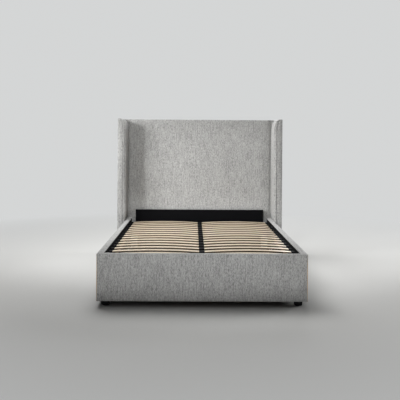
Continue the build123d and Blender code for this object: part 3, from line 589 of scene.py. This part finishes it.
def black_rubber():
    """Rubber of the buffers on the rests."""
    light, dark = (0.016, 0.016, 0.016), (0.009, 0.009, 0.009)
    return moulded("black_rubber", light, dark, roughness=0.8, grain_size=0.9 * MM, specular=0.15)


def all_materials():
    """Every material under the name of its slot in the record."""
    return {
        "grey_fabric": grey_fabric(),
        "black_lining": black_lining(),
        "black_webbing": webbing(),
        "beech": beech(),
        "timber": plain_wood("timber", (0.66, 0.47, 0.27), (0.46, 0.29, 0.14), long_axis=1),
        "plywood": plain_wood("plywood", (0.64, 0.49, 0.30), (0.5, 0.35, 0.19), long_axis=2),
        # Painted shade: the floor boards under the slats are coloured near black for the shade they lie in
        "floor_board": plain_wood("floor_board", (0.035, 0.022, 0.013), (0.02, 0.0125, 0.0075), long_axis=0),
        "black_board": black_board(),
        "black_steel": powder_coat(),
        "zinc_steel": zinc_steel(),
        "bright_rod": bright_rod(),
        "black_plastic": black_plastic(),
        "black_rubber": black_rubber(),
    }


def slat_pitch():
    """Distance from one row of slats to the next."""
    first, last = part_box("slat_row_01")[0].y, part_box(f"slat_row_{SLAT_ROWS:02d}")[0].y
    return (last - first) / (SLAT_ROWS - 1)


# Upholstered pieces
def rounded_in_plan(points, low, high, radius):
    """Points of a box with its two front upright corners turned from squares into arcs."""
    half, front = high[0] - radius, low[1] + radius
    aside, ahead = np.abs(points[:, 0]) - half, front - points[:, 1]
    corner = (aside > 0) & (ahead > 0)
    shrink = np.ones(len(points))
    shrink[corner] = np.maximum(aside, ahead)[corner] / np.hypot(aside, ahead)[corner]
    moved = points.copy()
    moved[:, 0] = np.where(corner, np.sign(points[:, 0]) * (half + aside * shrink), points[:, 0])
    moved[:, 1] = np.where(corner, front - ahead * shrink, points[:, 1])
    return moved


def held_points(outward, distance, hidden):
    """Points where the cover is stapled or sewn: its edges and its hidden faces."""
    held = distance < HELD_EDGE
    for axis, sign in hidden:
        held |= sign * outward[:, axis] > HELD_FACING
    return held


def upholstered_box(name, node, low, high, radius, hidden, material, corner=0.0):
    """Padded box in fabric that stands for a cover of the frame; its hidden faces stay flat.

    Where it has rounded corners in plan, its crown runs on round them."""
    points, outward, faces = rounded_box(low, high, radius)
    distance = edge_distance(points, low, high)
    if corner:
        aside = np.abs(points[:, 0]) - (high[0] - corner)
        distance = np.maximum(distance, 2 * CROWN_REACH * np.clip(aside / corner, 0, 1))
    points = puffed(points, outward, distance, hidden=hidden)
    if corner:
        points = rounded_in_plan(points, low, high, corner)
    piece = new_piece(name, points, faces, material)
    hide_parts(node)
    return piece, held_points(outward, distance, hidden), CROWN


def rails_and_footboard(material):
    """Covers of the footboard and both side rails."""
    low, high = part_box("footboard_cover")
    low.z -= UNDER_SKIN
    hidden = ((1, 1), (2, -1))
    name = "footboard_upholstery"
    pads = [upholstered_box(name, "footboard_cover", low, high, RAIL_EDGE, hidden, material, FOOT_CORNER)]
    for side, sign in SIDES:
        node = f"side_rail_cover_{side}"
        low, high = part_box(node)
        low.y -= JOINT_LAP
        high.y += PANEL_CURVE + CREASE_DEPTH
        low.z -= UNDER_SKIN
        hidden = ((0, -sign), (1, -1), (1, 1), (2, -1))
        name = f"side_rail_upholstery_{side}"
        pads.append(upholstered_box(name, node, low, high, RAIL_EDGE, hidden, material))
    return pads


def headboard_panel(material):
    """Headboard in one fabric, whose front curves back toward the wings."""
    low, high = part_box("headboard_pad")
    low.x, high.x, high.y = low.x - BACK_LAP, high.x + BACK_LAP, high.y + SEAM_DEPTH
    crease = WING_JOINT - pad_depth()
    fine = crease - CREASE_REACH * np.array(CREASE_GRID)
    points, outward, faces = rounded_box(low, high, HEAD_EDGE, extra=np.concatenate([-fine, fine]))
    side_gap = crease - np.abs(points[:, 0])
    hidden = ((0, 1), (0, -1), (1, 1), (2, 1), (2, -1))
    distance = edge_distance(points, low, high)
    points = puffed(points, outward, distance, hidden=hidden)
    ahead = np.clip((high.y - points[:, 1]) / (high.y - low.y), 0, 1)
    points[:, 1] += PANEL_CURVE * (1 - rise(side_gap, PANEL_CURVE_REACH)) * ahead
    points[:, 1] += CREASE_DEPTH * (1 - rise(side_gap, CREASE_REACH)) * ahead
    piece = new_piece("headboard_upholstery", points, faces, material)
    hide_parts("headboard_pad")
    return piece, held_points(outward, distance, hidden) | (side_gap < CREASE_REACH / 2), CROWN


def pad_depth():
    """Thickness of a wing's padding above the rails."""
    return WING_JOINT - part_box("wing_pad_right")[0].x + PAD_SWELL


def curve_inset(height, top, half_width, curve):
    """How far a curve that ends on the wing's top has moved outward at a height."""
    reach, power = curve
    share = np.clip((height - top + reach) / reach, 0, 1)
    return half_width * (1 - (1 - share**power) ** (1 / power))


def wing_outer(side, sign, material):
    """Board of a wing in its fabric: front strip, outside, top and back. Its seam curves out near the top."""
    low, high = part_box("wing_cover_right")
    low.x = WING_SEAM
    points, outward, faces = rounded_box(low, high, WING_EDGE)
    distance = edge_distance(points, low, high)
    behind = np.clip((points[:, 1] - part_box("headboard_pad")[0].y) / BACK_TURN, 0, 1)
    inset = curve_inset(points[:, 2], high.z, WING_CREST - low.x, SEAM_CURVE)
    inset = inset * (1 - behind) - BACK_LAP * behind
    points[:, 0] += inset * (high.x - points[:, 0]) / (high.x - low.x)
    points *= (sign, 1, 1)
    frontal = np.clip(-outward[:, 1], 0, 1) ** 2
    hidden = ((0, -sign), (2, -1))
    outward *= (sign, 1, 1)
    points = puffed(points, outward, distance, WING_CROWN, hidden)
    points[:, 1] -= STRIP_PROUD * rise(distance, STRIP_REACH) * frontal
    piece = new_piece(f"wing_upholstery_{side}", points, faces, material)
    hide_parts(f"wing_cover_{side}")
    return piece, held_points(outward, distance, hidden), WING_CROWN


def wing_stations():
    """Seam and face of the pad in the plane across the bed, from the bottom up and over the top."""
    low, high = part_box("wing_pad_right")
    rail_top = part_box("side_rail_cover_right")[1].z
    seam_reach, face_reach = SEAM_CURVE[0], FACE_CURVE[0]
    count = round((high.z - face_reach - low.z) / CELL)
    stations = []
    for share in np.linspace(0, 1, count + 1):
        height = low.z + share * (high.z - face_reach - low.z)
        bulge = PAD_SWELL * rise(height - rail_top - JOINT_LAP, CROWN_REACH)
        seam = (WING_SEAM, low.z + share * (high.z - seam_reach - low.z))
        stations.append((seam, (low.x - bulge, height)))
    for turn in np.linspace(0, CREST_TURN, CURVE_STEPS + 1)[1:]:
        corner = []
        for start, (reach, power) in ((WING_SEAM, SEAM_CURVE), (low.x - PAD_SWELL, FACE_CURVE)):
            across = (WING_CREST - start) * math.cos(turn) ** (2 / power)
            corner.append((WING_CREST - across, high.z - reach + reach * math.sin(turn) ** (2 / power)))
        stations.append(tuple(corner))
    return stations


def on_board(x, z):
    """Whether the wing's wooden board lies behind a point of its front."""
    centre_x, centre_z = WING_JOINT + BOARD_ROUND, BOARD_TOP - BOARD_ROUND
    if x > centre_x or z < centre_z:
        return x > WING_JOINT
    return math.hypot(x - centre_x, z - centre_z) < BOARD_ROUND


def pad_outline(covered, thickness, front, back, over_board):
    """Section of the wing pad: distance from the seam and place along the bed.

    It goes from the back behind the seam, over the groove and the strip that covers the board, down the
    slope of the front and round the corner, and along the face to the back."""
    corner = min(PAD_CORNER, thickness / 4)
    start, end = front + SEAM_DEPTH, thickness - corner
    groove = CREST_GROOVE if over_board else GROOVE_DEPTH
    flat = min(max(covered + SEAM_DEPTH, GROOVE_WIDTH), FLAT_MOST * end)
    outline = [(-PAD_LAP, back), (-PAD_LAP, (start + back) / 2), (-PAD_LAP, start + groove)]
    ridge = start - STRIP_PROUD * rise(flat, STRIP_REACH)
    for share in FLAT_STEPS:
        proud = STRIP_PROUD * rise(share * flat, STRIP_REACH)
        outline.append((share * flat, start - proud + groove * (1 - share) ** GROOVE_POWER))
    slope_end = ridge + (end - flat) * PAD_SLOPE
    for share in np.linspace(0, 1, SLOPE_STEPS + 1)[1:]:
        outline.append((flat + share * (end - flat), ridge + share * (slope_end - ridge)))
    round_length = PAD_CORNER_LENGTH * corner
    for turn in np.radians(PAD_CORNER_ANGLES):
        outline.append((end + corner * math.sin(turn), slope_end + round_length * (1 - math.cos(turn))))
    for place in np.linspace(slope_end + round_length, back, round((back - front) / CELL))[1:]:
        outline.append((thickness, place))
    return outline


def wing_inner(side, sign, material):
    """Padded inner side of a wing: a sloping front edge, a soft face, and its top carried over the board."""
    low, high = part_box("wing_pad_right")
    back = high.y + PANEL_CURVE + CREASE_DEPTH
    points, outward, distance = [], [], []
    stations = wing_stations()
    for (seam_x, seam_z), (face_x, face_z) in stations:
        thickness = max(math.hypot(face_x - seam_x, face_z - seam_z), SEAM_DEPTH)
        way = ((face_x - seam_x) / thickness, (face_z - seam_z) / thickness)
        # How far from the seam the wooden board still lies behind the front
        steps = np.arange(0, thickness, MM)
        covered = [step for step in steps if on_board(seam_x + way[0] * step, seam_z + way[1] * step)]
        over_board = seam_x > WING_JOINT
        ring = pad_outline(max(covered, default=0.0), thickness, low.y, back, over_board)
        for depth, place in ring:
            points.append((seam_x + way[0] * depth, place, seam_z + way[1] * depth))
            outward.append((way[0], 0, way[1]))
            free = min(place - low.y, high.y - place, face_z - low.z)
            distance.append(free * max(depth, 0) / thickness)
    faces = tube_faces(len(stations), len(ring))
    points = puffed(np.array(points) * (sign, 1, 1), np.array(outward) * (sign, 1, 1), np.array(distance))
    piece = new_piece(f"wing_padding_{side}", points, faces, material)
    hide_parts(f"wing_pad_{side}")
    return piece, np.array(distance) < HELD_EDGE, CROWN


def seam_shade_cord(material):
    """Dark cord laid along each wing's seam as painted shade, from the bottom up and over to the crest."""
    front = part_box("wing_pad_right")[0].y + SEAM_DEPTH
    path = [seam for seam, _ in wing_stations()]
    for side, sign in SIDES:
        points = []
        for x, z in path:
            for turn in np.linspace(0, 2 * math.pi, SHADE_CORD_SIDES, endpoint=False):
                points.append((sign * (x + SHADE_CORD * math.cos(turn)), front + SHADE_CORD * math.sin(turn), z))
        faces = tube_faces(len(path), SHADE_CORD_SIDES)
        new_piece(f"wing_seam_shade_{side}", points, faces, material)


# Thin cloth
def thin_cloth(name, node, low, high, material, wave):
    """Stretched cloth with long soft waves, as a thin closed sheet."""
    low, high = np.array(low), np.array(high)
    thin = int(np.argmin(high - low))
    lines = []
    for axis in range(3):
        count = 1 if axis == thin else max(2, round((high[axis] - low[axis]) / LINING_CELL))
        lines.append(np.linspace(low[axis], high[axis], count + 1))
    points, faces = box_surface(lines)
    gaps = np.minimum(points - low, high - points)
    gaps[:, thin] = np.inf
    free = rise(gaps.min(axis=1), LINING_CELL)
    flat = points.copy()
    flat[:, thin] = 0
    points[:, thin] += wave * ripple(flat, CLOTH_WAVE_LENGTH) * free
    piece = new_piece(name, points, faces, material)
    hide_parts(node)


def box_linings(material):
    """Black cloth on the inner faces of both side rails and of the footboard."""
    rail_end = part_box("side_rail_right")[1].y
    low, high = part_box("base_linings")
    cover_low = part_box("side_rail_cover_right")[0]
    foot_face, inner = cover_low.y, cover_low.x
    z = (low.z + LINING_EDGE_GAP, high.z - LINING_EDGE_GAP)
    for side, sign in SIDES:
        x = sorted((sign * (inner - LINING_THICKNESS), sign * (inner + LINING_THICKNESS)))
        thin_cloth(
            f"box_lining_{side}", "base_linings",
            (x[0], foot_face + LINING_EDGE_GAP, z[0]), (x[1], rail_end - LINING_EDGE_GAP, z[1]),
            material, LINING_WAVE,
        )
    thin_cloth(
        "box_lining_foot", "base_linings",
        (LINING_EDGE_GAP - inner, foot_face - LINING_THICKNESS, z[0]),
        (inner - LINING_EDGE_GAP, foot_face + LINING_THICKNESS, z[1]),
        material, LINING_WAVE,
    )


def dust_cover(material, wire):
    """Black cloth over the headboard's back, and the staples that hold its edge."""
    low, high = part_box("headboard_back_cover")
    back = high.y
    edge_low = Vector((low.x + COVER_INSET, back - 2 * LINING_THICKNESS, low.z + COVER_INSET))
    edge_high = Vector((high.x - COVER_INSET, back, high.z - COVER_INSET))
    thin_cloth("headboard_dust_cover", "headboard_back_cover", edge_low, edge_high, material, COVER_WAVE)
    places = []
    x0, x1 = edge_low.x + STAPLE_INSET, edge_high.x - STAPLE_INSET
    z0, z1 = edge_low.z + STAPLE_INSET, edge_high.z - STAPLE_INSET
    for x in np.linspace(x0, x1, round((x1 - x0) / STAPLE_PITCH) + 1):
        places += [(x, z0, True), (x, z1, True)]
    for z in np.linspace(z0, z1, round((z1 - z0) / STAPLE_PITCH) + 1)[1:-1]:
        places += [(x0, z, False), (x1, z, False)]
    staple_y = (back - STAPLE_WIRE, back + STAPLE_WIRE / 2)
    points, faces = [], []
    for x, z, level in places:
        across, up = (STAPLE_WIDTH, STAPLE_WIRE) if level else (STAPLE_WIRE, STAPLE_WIDTH)
        lines = ((x - across / 2, x + across / 2), staple_y, (z - up / 2, z + up / 2))
        start = len(points)
        corners, quads = box_surface([np.array(line) for line in lines])
        points += [tuple(p) for p in corners]
        faces += [tuple(q + start) for q in quads]
    new_piece("dust_cover_staples", points, faces, wire)


# Webbing tab
def lift_tab(material):
    """Loop of webbing at the middle of the platform's foot end."""
    low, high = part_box("lift_tab")
    bend = (high.y - low.y - TAB_WEBBING) / 2 - TAB_GAP / 2
    middle = (low.y + high.y) / 2
    path = [(middle + bend, z) for z in np.linspace(low.z, high.z - bend, TAB_STEPS)]
    for turn in np.radians(np.arange(TAB_TURN_STEP, 180, TAB_TURN_STEP)):
        path.append((middle + bend * math.cos(turn), high.z - bend + bend * math.sin(turn)))
    path += [(middle - bend, z) for z in np.linspace(high.z - bend, low.z + TAB_HEM, TAB_STEPS)]
    half = TAB_WEBBING / 2
    points = []
    for i, (y, z) in enumerate(path):
        y0, z0 = path[max(i - 1, 0)]
        y1, z1 = path[min(i + 1, len(path) - 1)]
        length = math.hypot(y1 - y0, z1 - z0)
        side_y, side_z = (z1 - z0) / length, -(y1 - y0) / length
        for x, way in ((low.x, 1), (high.x, 1), (high.x, -1), (low.x, -1)):
            points.append((x, y + side_y * half * way, z + side_z * half * way))
    faces = tube_faces(len(path), 4)
    piece = new_piece("lift_tab_webbing", points, faces, material, "platform")
    for polygon in piece.data.polygons:
        polygon.use_smooth = False
    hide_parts("lift_tab")


# Hard pieces
def finish_hard_pieces(materials):
    """Hard pieces of the frame keep their shape and get their finish and fine rounded edges."""
    for part in frame["record"]["subparts"]:
        node, slot = frame["nodes"][part["node"]], part["material_slot"]
        for place in node.material_slots:
            place.material = materials[slot]
        if slot in EDGE_ROUND and not node.hide_render:
            weld = node.modifiers.new("weld", "WELD")
            weld.merge_threshold = WELD_REACH
            bevel = node.modifiers.new("edges", "BEVEL")
            bevel.width, bevel.segments = EDGE_ROUND[slot], EDGE_SEGMENTS
            bevel.limit_method, bevel.angle_limit = "ANGLE", SHARP_ANGLE


# Room
def seen_rays(tree):
    """1 for what the camera, reflections and glass see, 0 for light that falls on the bed."""
    path = tree.nodes.new("ShaderNodeLightPath")
    total = path.outputs["Is Camera Ray"]
    for ray in ("Is Glossy Ray", "Is Transmission Ray"):
        joined = tree.nodes.new("ShaderNodeMath")
        joined.operation, joined.use_clamp = "ADD", True
        tree.links.new(total, joined.inputs[0])
        tree.links.new(path.outputs[ray], joined.inputs[1])
        total = joined.outputs[0]
    return total


def pale_floor():
    """Matt floor that fades into the pale colour of the distance, and returns less light than it shows."""
    corners = [(x * FLOOR_HALF, y * FLOOR_HALF, 0.0) for x, y in ((-1, -1), (1, -1), (1, 1), (-1, 1))]
    mesh = bpy.data.meshes.new("floor")
    mesh.from_pydata(corners, [], [(0, 1, 2, 3)])
    floor = bpy.data.objects.new("floor", mesh)
    bpy.context.scene.collection.objects.link(floor)
    paint = Finish("pale_floor", roughness=0.85, specular=0.1)
    seen = seen_rays(paint.tree)
    paint.colour(paint.mixed(seen, FLOOR_BOUNCE, FLOOR_SEEN))
    away = paint.add("ShaderNodeVectorMath", {0: paint.place()}, operation="LENGTH").outputs["Value"]
    fade = paint.calc("MULTIPLY", paint.spread(away, FADE_START, FADE_END), seen)
    pale = paint.add("ShaderNodeEmission", {"Color": (*DISTANCE_COLOUR, 1.0), "Strength": 1.0})
    shaders = {0: fade, 1: paint.shader.outputs["BSDF"], 2: pale.outputs["Emission"]}
    joined = paint.add("ShaderNodeMixShader", shaders)
    paint.tree.links.new(joined.outputs[0], paint.tree.nodes["Material Output"].inputs["Surface"])
    mesh.materials.append(paint.material)


def hang_lamp(lamp, place, aim, wide=1.0):
    """Put a lamp in its place and turn it to what it is aimed at."""
    holder = bpy.data.objects.new(lamp.name, lamp)
    holder.location = place
    holder.scale.x = wide
    holder.rotation_mode = "QUATERNION"
    holder.rotation_quaternion = (Vector(aim) - Vector(place)).to_track_quat("-Z", "Y")
    bpy.context.scene.collection.objects.link(holder)


def area_lamp(name, place, aim, size, power):
    """Large soft panel of light."""
    lamp = bpy.data.lights.new(name, "AREA")
    lamp.shape, lamp.energy = "RECTANGLE", power
    lamp.size, lamp.size_y = size
    hang_lamp(lamp, place, aim)


def spot_lamp(name, place, aim, angle, blend, radius, power, wide=1.0):
    """Beam of light, which falls only where it is aimed and may be wider than high."""
    lamp = bpy.data.lights.new(name, "SPOT")
    lamp.energy, lamp.shadow_soft_size = power, radius
    lamp.spot_size, lamp.spot_blend = math.radians(angle), blend
    hang_lamp(lamp, place, aim, wide)


def world_light():
    """Soft light from above, and the pale distance behind the bed."""
    world = bpy.data.worlds.new("studio")
    bpy.context.scene.world = world
    world.use_nodes = True
    tree = world.node_tree
    tree.nodes.clear()
    light, pale = (tree.nodes.new("ShaderNodeBackground") for _ in range(2))
    light.inputs["Color"].default_value = (1.0, 1.0, 1.0, 1.0)
    height = tree.nodes.new("ShaderNodeSeparateXYZ")
    tree.links.new(tree.nodes.new("ShaderNodeTexCoord").outputs["Generated"], height.inputs[0])
    sky = tree.nodes.new("ShaderNodeMapRange")
    tree.links.new(height.outputs["Z"], sky.inputs["Value"])
    for socket, value in (("From Min", SKY_FROM), ("From Max", SKY_FULL), ("To Max", WORLD_LIGHT)):
        sky.inputs[socket].default_value = value
    tree.links.new(sky.outputs["Result"], light.inputs["Strength"])
    pale.inputs["Color"].default_value = (*DISTANCE_COLOUR, 1.0)
    mix = tree.nodes.new("ShaderNodeMixShader")
    tree.links.new(seen_rays(tree), mix.inputs[0])
    tree.links.new(light.outputs[0], mix.inputs[1])
    tree.links.new(pale.outputs[0], mix.inputs[2])
    tree.links.new(mix.outputs[0], tree.nodes.new("ShaderNodeOutputWorld").inputs["Surface"])


def make_camera():
    """Camera of the photograph."""
    data = bpy.data.cameras.new("camera")
    data.sensor_width = SENSOR_WIDTH
    data.lens = FOCAL_PIXELS * SENSOR_WIDTH / IMAGE_SIDE
    data.shift_y = (CENTRE_ROW - IMAGE_SIDE / 2) / IMAGE_SIDE
    camera = bpy.data.objects.new("camera", data)
    camera.location = CAMERA_PLACE
    camera.rotation_euler = (math.pi / 2, -CAMERA_ROLL, -CAMERA_TURN)
    bpy.context.scene.collection.objects.link(camera)
    bpy.context.scene.camera = camera


def build():
    """The bed: its padded pieces, its thin cloth and its hard pieces."""
    materials = all_materials()
    pads = rails_and_footboard(materials["grey_fabric"])
    pads.append(headboard_panel(materials["grey_fabric"]))
    for side, sign in SIDES:
        pads.append(wing_outer(side, sign, materials["grey_fabric"]))
        pads.append(wing_inner(side, sign, materials["grey_fabric"]))
    swell(pads)
    # Painted shade: dark cords in the wing seams
    seam_shade_cord(materials["black_webbing"])
    box_linings(materials["black_lining"])
    dust_cover(materials["black_lining"], materials["zinc_steel"])
    lift_tab(materials["black_webbing"])
    finish_hard_pieces(materials)


build()
pale_floor()
world_light()
for lamp_name, values in SPOT_LAMPS.items():
    spot_lamp(lamp_name, **values)
for lamp_name, values in AREA_LAMPS.items():
    area_lamp(lamp_name, **values)
make_camera()
bpy.context.scene.view_settings.view_transform = "Standard"
